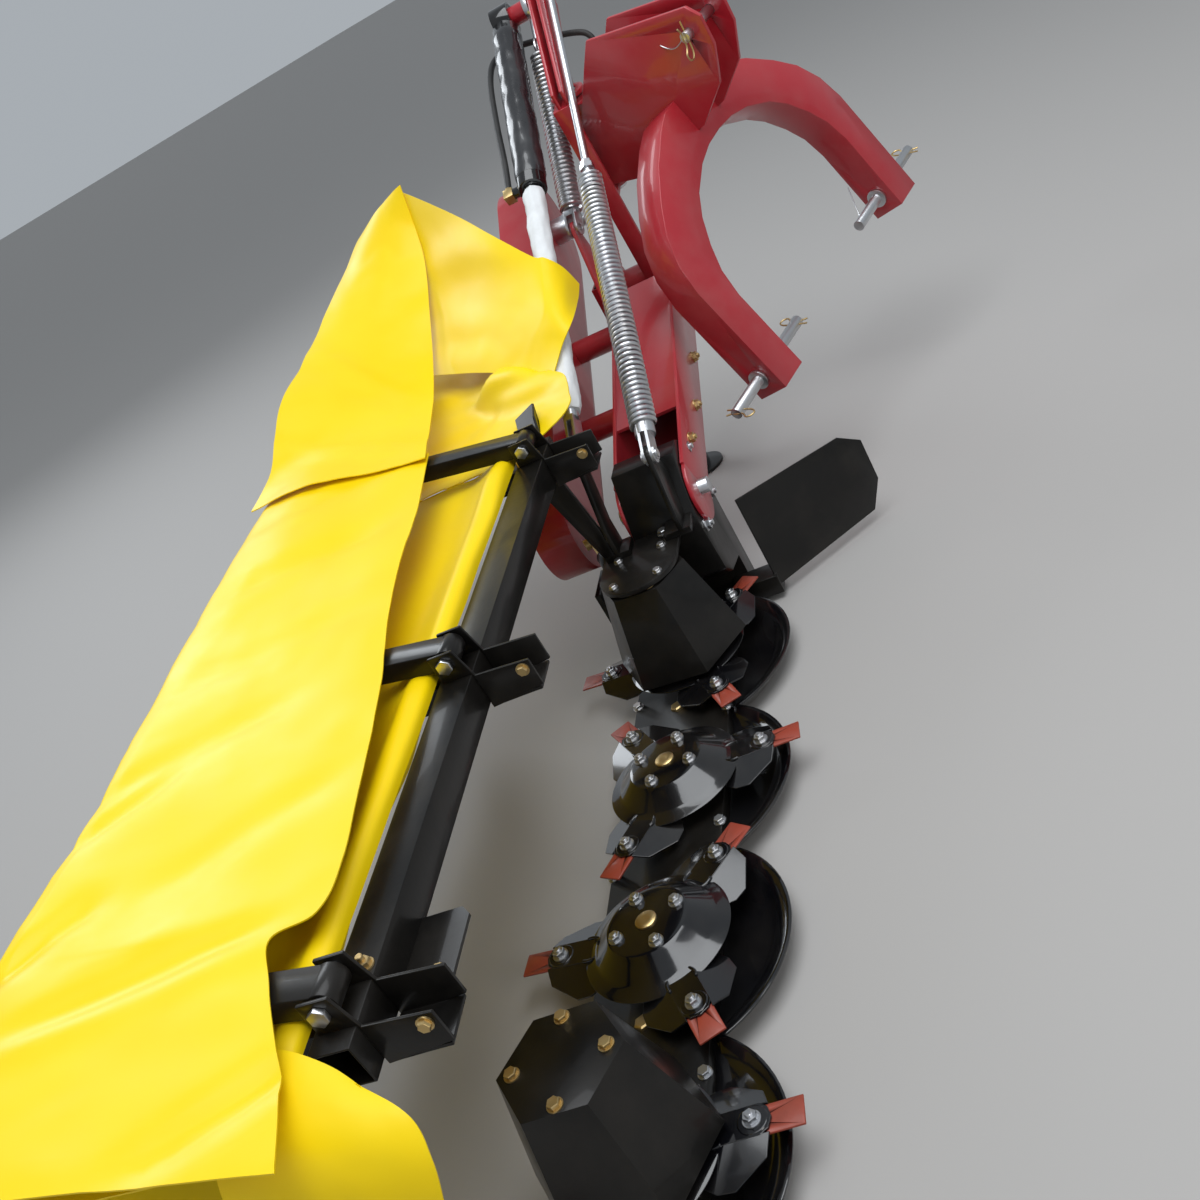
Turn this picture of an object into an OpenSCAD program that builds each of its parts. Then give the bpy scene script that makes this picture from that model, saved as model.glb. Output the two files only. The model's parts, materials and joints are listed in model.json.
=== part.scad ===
// Rear-mounted four-disc mower with a folding crop guard, parked with its cutter bar on the ground.
// +X runs outward along the cutter bar, +Y is the way it drives, +Z is up, and z = 0 is the floor.

/* [Cutter bar] */
// distance from one disc centre to the next
disc_pitch = 400; // [380:5:420]
// height of the blade bolt plane above the floor
bolt_plane = 90; // [80:1:110]
// radius of the blade bolts about a disc centre
lobe_r = 180; // [160:1:185]
// rounding of a disc lobe about its blade bolt
lobe_end = 27; // [20:1:32]
// radius of a disc between its lobes
gap_r = 118; // [100:1:130]
// sheet thickness of discs and drums
disc_t = 4; // [3:0.5:6]
// top of a disc centre above the blade bolt plane
dome_h = 30; // [20:1:36]
// radius of the flat on a disc centre
dome_top_r = 74; // [66:1:84]
// turn of the first disc, the next one turns the other way
disc_turn = 26; // [0:1:60]
// reach of a blade tip from the disc centre
blade_tip = 256; // [240:1:260]
// width of a blade
blade_w = 46; // [36:1:52]
// thickness of a blade
blade_t = 4; // [3:0.5:6]
// width of the bar housing
bar_w = 216; // [180:2:240]
// thickness of the bar housing
bar_t = 34; // [28:1:44]
// how far the housing centre lies behind the disc centres
bar_back = 18; // [0:1:40]
// reach of the housing past the last disc centre
bar_over = 176; // [150:2:220]
// reach of the housing inward of the first disc centre
bar_in = 268; // [266:1:290]
// radius of a skid guard's rim
skid_r = 239; // [225:1:245]
// thickness of a skid guard's rim
skid_t = 8; // [5:1:12]
// gap that a turning or sliding piece keeps from its seat
seat_gap = 0.3; // [0.2:0.1:0.6]

/* [Drums] */
// height of a drum's top above the blade bolt plane
drum_h = 206; // [180:1:230]
// radius over the corners at a drum's top
drum_top_r = 96; // [86:1:110]
// radius over the corners at a drum's foot
drum_foot_r = 146; // [130:1:160]
// bolt circle of a drum's top plate
drum_bolt_r = 70.5; // [60:0.5:76]

/* [Inner end] */
// height of the lift hinge above the blade bolt plane
hinge_z = 236; // [210:1:260]
// place of the lift hinge inward of the first disc
hinge_x = 214; // [190:1:240]
// diameter of the lift hinge pin
hinge_d = 34; // [28:1:40]
// width of the hinge block between the beam's plates
block_w = 150; // [120:2:160]
// length of the crop divider plate
divider_l = 330; // [280:5:380]
// height of the crop divider plate
divider_h = 205; // [170:5:240]
// angle of the crop divider plate, inward from straight ahead
divider_turn = 36; // [20:1:50]
// side of the parking stand's socket
stand_s = 62; // [50:1:70]

/* [Beam] */
// rise of the beam towards the hitch
beam_rise = 14; // [8:1:20]
// distance between the beam's two pivots
beam_l = 903; // [850:1:960]
// height of the beam's side plates
beam_h = 150; // [120:2:180]
// width over the beam's side plates
beam_w = 166; // [150:2:190]
// plate thickness of beam and headstock
plate_t = 8; // [6:1:12]
// forward offset of the beam's middle from the disc line
beam_y = 52; // [30:1:70]

/* [Belt drive] */
// rise of the belt guard towards the hitch
belt_rise = 24; // [18:1:30]
// distance between the belt pulleys
belt_l = 1000; // [900:10:1100]
// radius of the belt guard about the lower pulley
guard_low_r = 120; // [100:1:140]
// radius of the belt guard about the upper pulley
guard_top_r = 150; // [120:1:170]
// width of the belt guard
guard_w = 92; // [70:1:110]

/* [Headstock] */
// turn of the parked headstock about its swing post
hitch_turn = 30; // [0:1:40]
// lean of the parked headstock
hitch_lean = 8; // [0:1:12]
// spacing of the two arms at the lower hitch pins
arm_gap = 720; // [660:5:760]
// height from the lower pins to the top link pin
mast_h = 680; // [460:5:700]
// reach of the lower pins ahead of the swing post
arm_reach = 430; // [380:5:480]
// section width of an arm
arm_w = 90; // [70:1:110]
// section depth of an arm
arm_d = 90; // [70:1:110]
// diameter of the lower hitch pins
pin_d = 28; // [22:1:28]
// length of a lower hitch pin
pin_l = 340; // [280:5:370]

/* [Lift and springs] */
// bore of the lift cylinder's barrel, outside
cyl_d = 70; // [60:1:76]
// diameter of the lift cylinder's rod
cyl_rod_d = 32; // [25:1:40]
// outside diameter of the balance springs
spring_d = 60; // [50:1:70]
// wire of the balance springs
spring_wire = 9; // [7:0.5:11]
// coil length of the spring that carries the cutter bar
spring_a_l = 690; // [600:10:720]
// coil length of the spring that carries the beam
spring_b_l = 430; // [380:10:460]

/* [Crop guard] */
// height of the guard tube above the blade bolt plane
tube_z = 480; // [440:5:520]
// place of the guard tube behind the disc line
tube_back = 99; // [80:1:160]
// side of the guard tube
tube_s = 60; // [50:1:70]
// length of the guard tube
tube_l = 1520; // [1400:10:1640]
// angle of the parked folding guard above level
guard_park = 9; // [5:1:30]
// length of a folding guard arm
flap_l = 440; // [400:10:560]
// length of a fixed rear guard arm
rear_l = 440; // [380:10:480]

/* [Hidden] */
disc_n = 4;
bar_len = (disc_n - 1) * disc_pitch + bar_over + bar_in;
bar_top = -42;
bar_low = bar_top - bar_t;
bar_mid_x = ((disc_n - 1) * disc_pitch + bar_over - bar_in) / 2;
bar_front = bar_w / 2 - bar_back;
bar_rear = -bar_w / 2 - bar_back;
lobe_top = -6;
blade_top = lobe_top - disc_t;
tube_y = -tube_back;
tube_in = -130;
sheet_in = -86;
sheet_out = tube_in + tube_l + 120;
beam_top = [-hinge_x - beam_l * cos(beam_rise), beam_y, hinge_z + beam_l * sin(beam_rise)];
head_x = beam_top.x - 81.8;
head_z = beam_top.z - 104.5;
post_back = -20;
post_x = head_x - post_back * sin(hitch_turn) * cos(hitch_lean);
post_y = beam_y - post_back * cos(hitch_turn);
post_z = head_z + post_back * sin(hitch_turn) * sin(hitch_lean);
hang_x = head_x - 148;
hang_z = head_z + 800;
cyl_y = -47;
spring_y = 100;
post_d = 50;
pin_y = arm_reach + 70;
arm_slope = 70;
arm_out = arm_gap / 2 + arm_w / 2;
arm_in = arm_gap / 2 - arm_w / 2;
cyl_top = [hang_x, cyl_y, hang_z];
cyl_low = [-151, cyl_y, 432];
cyl_len = norm(cyl_low - cyl_top);
fork_l = 100;
spring_fork = 74;
spring_a_low = [-124, spring_y, 386];
spring_a_top = [hang_x, spring_y, hang_z + 45];
spring_a_len = norm(spring_a_low - spring_a_top);
spring_b_low = [beam_top.x + 185.2, beam_y - beam_w / 2 + plate_t / 2, beam_top.z + 235.5];
spring_b_top = [hang_x, 32, hang_z];
lever_t = 10;
joint_l = 100;
stand_x = beam_top.x + 60.2;
pivot_z = tube_z + tube_s / 2 + 30;
bracket_x = [tube_in + 67, tube_in + 0.5184 * tube_l, tube_in + tube_l - 67];
guard_mounts = [[-560, 0, 318], [-900, 0, 400]];
hose_d = 16;
hose_steps = 3;
hose_sides = 10;
hose_route = [[-841, -109, 856], [-921, -109, 905], [-1050, -116, 980], [-1180, -116, 1055], [-1270, -102, 1085],
    [-1335, -60, 1082], [-1362, 0, 1068], [-1366, 60, 1052], [-1357, 112, 1034], [-1352, 130, 1015], [-1352, 130, 1000],
    [-1352, 130, 985]];
mid_x = 58.2;
mid_y = 44.8;
red = [0.62, 0.08, 0.1];
black = [0.05, 0.05, 0.05];
zinc = [0.72, 0.73, 0.74];
gold = [0.75, 0.62, 0.3];
rust = [0.5, 0.2, 0.13];
yellow = [0.95, 0.8, 0.05];
eps = 0.01;

// every piece is drawn from the first disc's centre on the blade bolt plane, then set on the floor
module place() {
    translate([-mid_x, -mid_y, bolt_plane]) children();
}

module plate_xz(y, t) {
    translate([0, y + t / 2, 0]) rotate([90, 0, 0]) linear_extrude(t) children();
}

module plate_yz(x, t) {
    translate([x - t / 2, 0, 0]) rotate([90, 0, 90]) linear_extrude(t) children();
}

// discs

module disc_outline() {
    circle(r = gap_r, $fn = 96);
    for (k = [0:2]) rotate(k * 120) {
        translate([lobe_r, 0]) circle(r = lobe_end, $fn = 48);
        polygon([[0, -90], [lobe_r, -lobe_end], [lobe_r, lobe_end], [0, 90]]);
    }
}

function disc_angle(i) = i % 2 == 0 ? disc_turn : -disc_turn;

module at_disc(i) {
    place() translate([i * disc_pitch, 0, 0]) rotate(disc_angle(i)) children();
}

module disc(i) {
    color(black) at_disc(i) {
        difference() {
            union() {
                translate([0, 0, lobe_top - disc_t]) linear_extrude(disc_t) disc_outline();
                rotate_extrude($fn = 96)
                    polygon([[0, lobe_top - disc_t], [gap_r - 6, lobe_top - disc_t],
                        [gap_r - 6, lobe_top], [dome_top_r, dome_h], [0, dome_h]]);
            }
            rotate_extrude($fn = 96)
                polygon([[0, lobe_top - disc_t - 1], [gap_r - 16, lobe_top - disc_t - 1],
                    [dome_top_r - 4, dome_h - disc_t], [0, dome_h - disc_t]]);
            for (k = [0:2]) rotate(k * 120) translate([lobe_r, 0, lobe_top - disc_t - 1])
                cylinder(r = 8, h = disc_t + 2, $fn = 32);
        }
        translate([0, 0, bar_top + seat_gap])
            cylinder(r = 46, h = dome_h - disc_t / 2 - bar_top - seat_gap, $fn = 64);
    }
}

module blades(i) {
    color(rust) at_disc(i) for (k = [0:2]) rotate(k * 120)
        translate([0, 0, blade_top - blade_t]) linear_extrude(blade_t) difference() {
            union() {
                translate([lobe_r, 0]) circle(r = blade_w / 2, $fn = 48);
                translate([lobe_r, -blade_w / 2]) square([blade_tip - lobe_r - 3, blade_w]);
            }
            translate([lobe_r, 0]) circle(r = 8, $fn = 32);
        }
}

module drum(i) {
    foot = lobe_top + 14;
    color(black) at_disc(i) {
        difference() {
            translate([0, 0, foot])
                cylinder(r1 = drum_foot_r, r2 = drum_top_r, h = drum_h - foot, $fn = 6);
            translate([0, 0, foot - 1])
                cylinder(r1 = drum_foot_r - 4, r2 = drum_top_r - 4, h = drum_h - foot - 4, $fn = 6);
        }
        translate([0, 0, dome_h]) cylinder(r = 40, h = drum_h - dome_h - 2, $fn = 64);
    }
}

// cutter bar

module bar_housing() {
    color(black) place() difference() {
        union() {
            translate([-bar_in, bar_rear, bar_low])
                cube([(disc_n - 1) * disc_pitch + bar_over + bar_in - 70, bar_w, bar_t]);
            translate([(disc_n - 1) * disc_pitch + bar_over - 70, -bar_back, bar_low])
                intersection() {
                    cylinder(r = bar_w / 2, h = bar_t, $fn = 64);
                    translate([-60, -bar_w, -1]) cube([130, 2 * bar_w, bar_t + 2]);
                }
        }
    }
}

module skid_guards() {
    color(black) place() for (i = [0:disc_n - 1]) translate([i * disc_pitch, -bar_back, 0]) difference() {
        intersection() {
            rotate_extrude($fn = 128) polygon([[64, bar_low + 6], [64, bar_low - 8],
                [150, -bolt_plane], [200, -bolt_plane + 4], [skid_r - 4, -44 - skid_t],
                [skid_r, -40 - skid_t], [skid_r, -44], [skid_r - 8, -44], [190, bar_low + 6]]);
            translate([-disc_pitch / 2 + 0.5, -60, -bolt_plane - 1]) cube([disc_pitch - 1, 400, bolt_plane]);
        }
        translate([-disc_pitch / 2 - 10, -bar_w, bar_low]) cube([disc_pitch + 20, bar_w * 1.5, bar_t + 10]);
    }
}

module inner_post() {
    back = beam_y - block_w / 2 + 2;
    color(black) place() {
        difference() {
            plate_xz(beam_y, block_w - 4) polygon([[-330, bar_low], [-bar_in, bar_low], [-bar_in, 18],
                [-172, 40], [-133, 73], [-118, 205], [-118, 225], [-189, 345], [-250, 345], [-330, 300]]);
            translate([-hinge_x, beam_y, hinge_z]) rotate([90, 0, 0])
                cylinder(d = hinge_d + 0.1, h = 400, center = true, $fn = 48);
        }
        translate([-330, -206, bar_low]) cube([116, 14, 78 - bar_low]);
        translate([-330, -206, bar_low]) cube([330 - bar_in, 206 + back + 1, bar_t]);
    }
}

module gear_flange() {
    color(black) place() translate([0, 0, drum_h + 5]) linear_extrude(10) {
        circle(r = 88, $fn = 96);
        translate([-118, -88]) square([118, 176]);
    }
    color(black) joint_line() translate([0, 0, joint_l]) cylinder(d = 56, h = 32, $fn = 64);
}

module lift_levers() {
    flange = drum_h + 15;
    back = beam_y - block_w / 2 + 2;
    color(black) place() {
        plate_xz(cyl_y, lever_t) difference() {
            union() {
                polygon([[-118, flange], [-60, flange], [-60, flange + 70], [cyl_low.x + 22, cyl_low.z + 12],
                    [cyl_low.x - 20, cyl_low.z - 14], [-118, flange + 70]]);
                translate([cyl_low.x, cyl_low.z]) circle(r = 25, $fn = 48);
            }
            translate([cyl_low.x, cyl_low.z]) circle(d = 25, $fn = 48);
        }
        translate([-118, cyl_y - 30, flange]) cube([58, back - cyl_y + 30, 14]);
        plate_xz(spring_y, lever_t) difference() {
            union() {
                polygon([[-172, 320], [-118, 225], [-60, flange], [-60, flange + 40],
                    [spring_a_low.x + 20, spring_a_low.z + 10], [spring_a_low.x - 20, spring_a_low.z - 12]]);
                translate([spring_a_low.x, spring_a_low.z]) circle(r = 22, $fn = 48);
            }
            translate([spring_a_low.x, spring_a_low.z]) circle(d = 20, $fn = 48);
        }
        translate([-118, spring_y - 40, flange]) cube([58, 60, 14]);
    }
}

module divider_plate() {
    color(black) place() {
        translate([-214, 190, -60]) rotate(divider_turn) translate([-4, 0, 0])
            rotate([90, 0, 90]) linear_extrude(5) polygon([[0, 0], [divider_l - 40, 0],
                [divider_l, 60], [divider_l, divider_h - 40], [divider_l - 50, divider_h], [0, divider_h + 30]]);
        translate([0, 0, bar_low]) linear_extrude(46) polygon([[-bar_in, bar_front], [-226, bar_front],
            [-205, 150], [-205, 196], [-bar_in, 196]]);
    }
}

module hinge_pin() {
    color(zinc) place() translate([-hinge_x, beam_y, hinge_z]) rotate([90, 0, 0])
        cylinder(d = hinge_d, h = beam_w + 44, center = true, $fn = 48);
}

// beam and belt drive

module beam_frame() {
    translate([-hinge_x, beam_y, hinge_z]) rotate([0, beam_rise, 0]) children();
}

module main_beam() {
    bracket = [[spring_b_low.x - 105, spring_b_low.z - 212], [spring_b_low.x + 105, spring_b_low.z - 266],
        [spring_b_low.x + 22, spring_b_low.z + 6],
        [spring_b_low.x - 22, spring_b_low.z - 6]];
    color(red) place() {
        beam_frame() {
            for (s = [-1, 1]) plate_xz(s * (beam_w / 2 - plate_t / 2), plate_t) difference() {
                union() {
                    circle(r = 74, $fn = 64);
                    translate([-beam_l, -55]) square([beam_l, beam_h - 15]);
                    translate([-beam_l, 0]) circle(r = 58, $fn = 64);
                }
                circle(d = hinge_d + 0.1, $fn = 48);
                translate([-beam_l, 0]) circle(d = hinge_d + 0.1, $fn = 48);
            }
            translate([-beam_l + 150, -beam_w / 2 + 2, beam_h - 81]) cube([beam_l - 350, beam_w - 4, plate_t]);
            translate([-beam_l + 90, -beam_w / 2 + 2, -50]) cube([beam_l - 260, beam_w - 4, plate_t]);
        }
        for (m = guard_mounts) translate([m.x, -175, m.z]) rotate([-90, 0, 0])
            cylinder(d = 60, h = 175 + beam_y - beam_w / 2 + plate_t / 2, $fn = 48);
        plate_xz(spring_b_low.y - 2, plate_t) difference() {
            union() {
                polygon(bracket);
                translate([spring_b_low.x, spring_b_low.z]) circle(r = 18, $fn = 48);
            }
            translate([spring_b_low.x, spring_b_low.z]) circle(d = 20, $fn = 48);
        }
        translate([stand_x - stand_s / 2, beam_y - beam_w / 2 - stand_s, beam_top.z - 69.5]) difference() {
            cube([stand_s, stand_s + 2, 120]);
            translate([6, 6, -1]) cube([stand_s - 12, stand_s - 12, 122]);
        }
    }
}

module guard_outline(r) {
    rise = belt_l * sin(belt_rise);
    run = belt_l * cos(belt_rise);
    translate([-330, 220]) circle(r = guard_low_r - r, $fn = 96);
    translate([-330 - run, 220 + rise]) circle(r = guard_top_r - r, $fn = 96);
    translate([-330, 220]) rotate(180 - belt_rise) {
        k = (guard_top_r - guard_low_r) / belt_l;
        a = asin(k);
        polygon([[-(guard_low_r - r) * sin(a), (guard_low_r - r) * cos(a)],
            [belt_l - (guard_top_r - r) * sin(a), (guard_top_r - r) * cos(a)],
            [belt_l - (guard_top_r - r) * sin(a), -(guard_top_r - r) * cos(a)],
            [-(guard_low_r - r) * sin(a), -(guard_low_r - r) * cos(a)]]);
    }
}

module belt_guard() {
    color(red) place() difference() {
        plate_xz(-175 - guard_w / 2, guard_w) guard_outline(0);
        plate_xz(-175 - guard_w / 2, guard_w - 6) guard_outline(3);
    }
}

module pto_stub() {
    color(zinc) place() translate([-330 - belt_l * cos(belt_rise), -175, 220 + belt_l * sin(belt_rise)])
        rotate([-90, 0, 0]) {
            cylinder(d = 70, h = 60, $fn = 64);
            translate([0, 0, 60 - eps]) cylinder(r = 17.4, h = 76, $fn = 64);
        }
}

module joint_line() {
    place() translate([-225, -135, 240]) rotate([0, 112, 25]) children();
}

module drive_joint() {
    color(gold) joint_line() {
        cylinder(d = 40, h = joint_l, $fn = 48);
        translate([0, 0, 42]) rotate([90, 0, 0]) cylinder(d = 26, h = 62, center = true, $fn = 32);
        translate([0, 0, 42]) rotate([0, 90, 0]) cylinder(d = 26, h = 62, center = true, $fn = 32);
    }
}

module carrier() {
    place() translate([post_x, post_y, post_z]) rotate([0, hitch_lean, 0]) children();
}

module swing_carrier() {
    color(red) difference() {
        union() {
            carrier() {
                translate([95, -28, 60]) cube([15, 44, 557]);
                for (z = [358, 605]) translate([0, 0, z]) {
                    cylinder(r = 44, h = 12, $fn = 64);
                    translate([0, -28, 0]) cube([96, 44, 12]);
                }
                translate([62, -28, 85]) cube([34, 44, 60]);
            }
            place() translate(beam_top) rotate([90, 0, 0])
                cylinder(r = 38, h = beam_w - 2 * plate_t - 4, center = true, $fn = 64);
        }
        place() translate(beam_top) rotate([90, 0, 0])
            cylinder(d = hinge_d + 0.1, h = beam_w + 10, center = true, $fn = 48);
        for (z = [357, 604]) carrier() translate([0, 0, z]) cylinder(d = post_d, h = 14, $fn = 64);
    }
}

module beam_pin() {
    color(zinc) place() translate(beam_top) rotate([90, 0, 0])
        cylinder(d = hinge_d, h = beam_w + 30, center = true, $fn = 48);
}

module lift_mast() {
    color(red) carrier() for (y = [60, 83]) plate_xz(y - post_y, plate_t)
        polygon([[-40, 617], [105, 617], [108, 655], [-120, 790], [-225, 850], [-285, 855],
            [-310, 815], [-305, 735], [-250, 715], [-90, 662]]);
    color(zinc) place() {
        translate([hang_x, 9, hang_z]) rotate([90, 0, 0]) cylinder(d = 50, h = 160, center = true, $fn = 48);
        translate([hang_x, 84, hang_z + 45]) rotate([90, 0, 0]) cylinder(d = 30, h = 64, center = true, $fn = 48);
    }
}

// headstock, drawn square to its own pins and then set at its parked turn and lean

module headstock() {
    place() translate([head_x, beam_y, head_z]) rotate([0, hitch_lean, 0]) rotate(-hitch_turn) children();
}

module arm_half() {
    polygon([[arm_in, -50], [arm_out, -50], [arm_out, 250], [arm_out - 14, 320], [arm_out - 50, 385],
        [arm_out - 105, 440], [arm_out - 175, 495], [arm_out - 255, 540], [100, 560], [0, 565],
        [0, 440], [60, 436], [120, 420], [arm_in - 125, 385], [arm_in - 80, 345], [arm_in - 40, 290],
        [arm_in - 12, 235], [arm_in, 170]]);
}

module arms_solid() {
    translate([0, pin_y, 0]) rotate([180 - arm_slope, 0, 0]) mirror([0, 0, 1])
        translate([0, 0, -arm_d / 2]) linear_extrude(arm_d) {
            arm_half();
            mirror([1, 0]) arm_half();
        }
}

module headstock_arms() {
    color(red) headstock() difference() {
        arms_solid();
        for (s = [-1, 1]) translate([s * arm_gap / 2, pin_y, 0]) rotate([0, 90, 0])
            cylinder(d = pin_d + 0.1, h = arm_w + 20, center = true, $fn = 48);
    }
}

module tower() {
    color(red) headstock() difference() {
        for (s = [-1, 1]) plate_yz(s * 50, 10) difference() {
            polygon([[50, 380], [50, mast_h - 147], [158, mast_h], [200, mast_h + 55], [490, mast_h + 55],
                [518, mast_h + 28], [520, mast_h - 40], [490, mast_h - 125], [400, mast_h - 210],
                [300, mast_h - 256], [150, 380]]);
            translate([pin_y - 27, mast_h]) circle(d = 25.1, $fn = 48);
        }
        arms_solid();
    }
    color(red) headstock() difference() {
        union() {
            translate([0, -post_back, 375]) cylinder(r = 38, h = 225, $fn = 64);
            translate([-30, -post_back, 385]) cube([60, 90, 205]);
            translate([-46, 100, 385]) cube([92, 12, 205]);
        }
        translate([0, -post_back, 374]) cylinder(d = post_d + 0.1, h = 228, $fn = 64);
    }
}

module swing_post() {
    color(zinc) carrier() translate([0, 0, 345]) cylinder(d = post_d, h = 270, $fn = 64);
}

module hitch_pins() {
    color(zinc) headstock() for (s = [-1, 1]) translate([s * arm_gap / 2, pin_y, 0]) rotate([0, 90, 0]) {
        cylinder(d = pin_d, h = pin_l, center = true, $fn = 48);
        for (e = [-1, 1]) translate([0, 0, e * (arm_w / 2 + 4)])
            cylinder(d = pin_d * 1.8, h = 8, center = true, $fn = 48);
    }
}

module top_link_pin() {
    color(zinc) headstock() translate([0, pin_y - 27, mast_h]) rotate([0, 90, 0])
        cylinder(d = 25, h = 150, center = true, $fn = 48);
}

module parking_stand() {
    leg = stand_s - 12 - 2 * seat_gap;
    color(black) place() translate([stand_x, beam_y - beam_w / 2 - stand_s / 2, -bolt_plane]) {
        cylinder(d = 130, h = 8, $fn = 48);
        translate([-leg / 2, -leg / 2, 7]) cube([leg, leg, 590]);
    }
}

// lift cylinder and balance springs, each drawn along its own line

module along(a, b) {
    d = b - a;
    l = norm(d);
    translate(a) rotate([0, acos(d.z / l), atan2(d.y, d.x)]) children();
}

module fork_end(lever, reach) {
    for (s = [-1, 1]) translate([0, s * (lever / 2 + 3 + seat_gap), 0]) rotate([90, 0, 0])
        linear_extrude(6, center = true) difference() {
            union() {
                circle(r = 20, $fn = 48);
                translate([-20, -reach]) square([40, reach]);
            }
            circle(d = 20, $fn = 48);
        }
    translate([-20, -lever / 2 - 6 - seat_gap, -reach]) cube([40, lever + 12 + 2 * seat_gap, 14]);
}

module hang_eye(w, pin) {
    rotate([90, 0, 0]) difference() {
        cylinder(d = pin + 30, h = w, center = true, $fn = 48);
        cylinder(d = pin + 0.1, h = w + 10, center = true, $fn = 48);
    }
}

module cylinder_barrel() {
    color(black) place() along(cyl_top, cyl_low) {
        hang_eye(50, 50);
        translate([0, 0, 38]) difference() {
            cylinder(d = cyl_d, h = 560, $fn = 64);
            translate([0, 0, 150]) cylinder(d = cyl_rod_d + 8, h = 420, $fn = 64);
        }
        translate([0, 0, 583]) difference() {
            rotate([90, 0, 0]) cylinder(d = 26, h = cyl_d / 2 + 14, $fn = 48);
            translate([0, 0, -30]) cylinder(d = cyl_d - 6, h = 60, $fn = 64);
        }
    }
}

module hose_fittings() {
    color(gold) place() {
        along(cyl_top, cyl_low) translate([0, -cyl_d / 2 - 27, 583]) {
            translate([-13, -11, -13]) cube([26, 24, 26]);
            translate([0, 0, -20.8]) cylinder(d = 20, h = 10, $fn = 32);
        }
        translate(hose_route[len(hose_route) - 1]) {
            translate([0, 0, -seat_gap - 34]) cylinder(d = 25, h = 34, $fn = 48);
            translate([0, 0, -seat_gap - 70]) cylinder(d = 16, h = 37, $fn = 48);
        }
    }
}

// a smooth curve through the points of a route, then a tube along it

function span(p, i, t) = let (a = p[max(i - 1, 0)], b = p[i], c = p[i + 1], d = p[min(i + 2, len(p) - 1)])
    b + 0.5 * (t * (c - a) + t * t * (2 * a - 5 * b + 4 * c - d) + t * t * t * (3 * b - a - 3 * c + d));

function smooth(p) = [for (i = [0:len(p) - 2]) for (k = [0:hose_steps - 1]) span(p, i, k / hose_steps), p[len(p) - 1]];

function unit(v) = v / norm(v);

module hose_tube(route) {
    p = smooth(route);
    last = len(p) - 1;
    rings = [for (i = [0:last]) let (t = unit(p[min(i + 1, last)] - p[max(i - 1, 0)]),
        u = unit(cross(t, [1, 1, 1])), v = cross(t, u))
        for (k = [0:hose_sides - 1]) p[i] + hose_d / 2 * (cos(k * 360 / hose_sides) * u + sin(k * 360 / hose_sides) * v)];
    sides = [for (i = [0:last - 1]) for (k = [0:hose_sides - 1])
        let (a = i * hose_sides + k, b = i * hose_sides + (k + 1) % hose_sides)
        for (f = [[a, a + hose_sides, b + hose_sides], [a, b + hose_sides, b]]) f];
    polyhedron(rings, concat([[for (k = [0:hose_sides - 1]) k]],
        [[for (k = [0:hose_sides - 1]) last * hose_sides + hose_sides - 1 - k]], sides));
}

module lift_hose() {
    color(black) place() hose_tube(hose_route);
}

module cylinder_rod() {
    color(zinc) place() along(cyl_top, cyl_low) {
        translate([0, 0, 440]) cylinder(d = cyl_rod_d, h = cyl_len - 440 - fork_l, $fn = 48);
        translate([0, 0, cyl_len]) fork_end(lever_t, fork_l);
    }
}

module spring_rod_a() {
    color(zinc) place() along(spring_a_top, spring_a_low) {
        hang_eye(16, 30);
        translate([0, 0, 26]) cylinder(d = 20, h = spring_a_len - spring_fork - spring_a_l + 170, $fn = 32);
    }
}

module spring_rod_b() {
    color(zinc) place() along(spring_b_top, spring_b_low) {
        hang_eye(14, 53);
        translate([0, 0, 38]) cylinder(d = 20, h = 104, $fn = 32);
        translate([0, 0, norm(spring_b_low - spring_b_top)]) fork_end(plate_t + 10, 44);
    }
}

// a tube stands in for the coil, closed by its two end plugs
module balance_spring(l) {
    difference() {
        cylinder(d = spring_d, h = l, $fn = 64);
        translate([0, 0, -1]) cylinder(d = spring_d - 2 * spring_wire, h = l + 2, $fn = 64);
    }
}

module lower_spring() {
    color(zinc) place() along(spring_a_top, spring_a_low) translate([0, 0, spring_a_len]) {
        translate([0, 0, -spring_fork - spring_a_l]) balance_spring(spring_a_l);
        translate([0, 0, -spring_fork - 1]) cylinder(d = spring_d - 2 * spring_wire + 2, h = 10, $fn = 64);
        fork_end(lever_t, spring_fork);
    }
}

module upper_spring() {
    plug = spring_d - 2 * spring_wire + 2;
    color(zinc) place() along(spring_b_top, spring_b_low) translate([0, 0, 142]) {
        balance_spring(spring_b_l);
        cylinder(d = plug, h = 9, $fn = 64);
        translate([0, 0, spring_b_l - 9]) cylinder(d = plug, h = 10, $fn = 64);
    }
}

// crop guard

module guard_tube() {
    back = beam_y - block_w / 2 + 2;
    flange = drum_h + 15;
    color(black) place() {
        difference() {
            translate([tube_in, tube_y - tube_s / 2, tube_z - tube_s / 2]) cube([tube_l, tube_s, tube_s]);
            translate([tube_in - 1, tube_y - tube_s / 2 + 3, tube_z - tube_s / 2 + 3])
                cube([tube_l + 2, tube_s - 6, tube_s - 6]);
        }
        plate_yz(-66, 12) polygon([[cyl_y - 30, flange + 14], [cyl_y - 7, flange + 14], [cyl_y - 7, 300],
            [tube_y + tube_s / 2 - 5, tube_z - tube_s / 2], [tube_y - tube_s / 2, tube_z - tube_s / 2]]);
    }
}

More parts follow.
